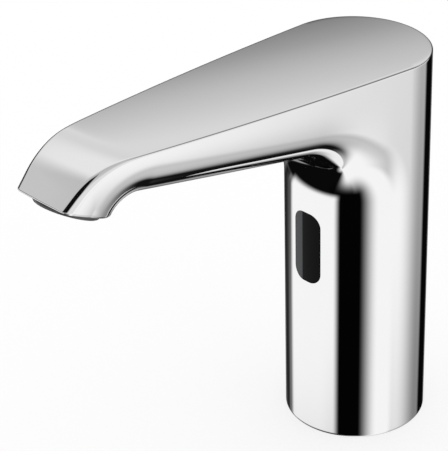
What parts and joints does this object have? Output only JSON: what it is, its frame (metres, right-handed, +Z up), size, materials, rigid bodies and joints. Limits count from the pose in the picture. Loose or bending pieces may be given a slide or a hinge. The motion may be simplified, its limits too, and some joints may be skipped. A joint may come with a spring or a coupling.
{
  "type": "sensor tap",
  "caption": "Deck-mounted touch-free basin tap: round column, tapering flat-topped spout, dark sensor window, aerator and a sprung diaphragm valve inside.",
  "frame": {"origin": "centre of the column's foot, on the deck plane", "axes": "+Z up along the column; -Y the way the spout points; +X to the right of a user who faces the sensor"},
  "size_m": [0.048, 0.1583, 0.1445],
  "materials": {
    "chrome_shell": "mirror polished plating",
    "window_black": "gloss",
    "seal_rubber": "matt",
    "diaphragm_rubber": "matt",
    "black_moulding": "fine texture",
    "board_green": "satin lacquer",
    "clear_violet": "gloss",
    "dark_lens": "gloss",
    "spring_steel": "bright rolled",
    "bright_screws": "bright",
    "lead_black": "satin sheath",
    "lead_red": "satin sheath",
    "raw_brass": "turned",
    "valve_plastic": "moulded",
    "pale_plastic": "moulded",
    "plunger_steel": "ground",
    "zinc_steel": "zinc plated",
    "winding_copper": "enamelled wire",
    "pipe_copper": "drawn pipe",
    "dark_ring": "satin",
    "aerator_grey": "moulded"
  },
  "bodies": {
    "casting": {"tap_body": "chrome_shell", "sensor_window": "window_black", "window_gasket": "seal_rubber", "sensor_housing": "black_moulding", "sensor_cover": "black_moulding", "sensor_board": "board_green", "infrared_emitter": "clear_violet", "infrared_receiver": "dark_lens", "sensor_bracket": "spring_steel", "sensor_screws": "bright_screws", "sensor_lead": "lead_black", "base_seal": "seal_rubber", "base_insert": "raw_brass", "insert_screws": "bright_screws", "cable_grommet": "seal_rubber", "valve_housing": "valve_plastic", "inlet_o_ring": "seal_rubber", "inlet_filter": "pale_plastic", "diaphragm": "diaphragm_rubber", "valve_cover": "valve_plastic", "valve_screws": "bright_screws", "guide_tube": "spring_steel", "plunger_spring": "spring_steel", "fixed_pole": "plunger_steel", "coil_frame": "zinc_steel", "coil_bobbin": "pale_plastic", "coil_winding": "winding_copper", "coil_nut": "raw_brass", "coil_terminals": "black_moulding", "valve_lead": "lead_red", "spout_tube": "pipe_copper", "tube_o_rings": "seal_rubber", "aerator_ring": "dark_ring", "aerator_insert": "aerator_grey", "aerator_screen": "spring_steel", "flow_regulator": "aerator_grey", "aerator_washer": "seal_rubber"},
    "plunger": {"plunger": "plunger_steel", "plunger_seal": "diaphragm_rubber"},
    "diaphragm_core": {"diaphragm_core": "pale_plastic"}
  },
  "joints": [
    {"name": "plunger_slide", "type": "slide", "parent": "casting", "child": "plunger", "axis": [0, 0, 1], "range_m": [0, 0.002], "stiffness_N_per_m": 250, "springref_m": -0.003, "deforming": ["plunger_spring"]},
    {"name": "diaphragm_lift", "type": "slide", "parent": "casting", "child": "diaphragm_core", "axis": [0, 0, 1], "range_m": [0, 0.0016], "deforming": ["diaphragm"]}
  ],
  "couplings": [
    {"joint": "diaphragm_lift", "follows": "plunger_slide", "ratio": 0.8}
  ]
}
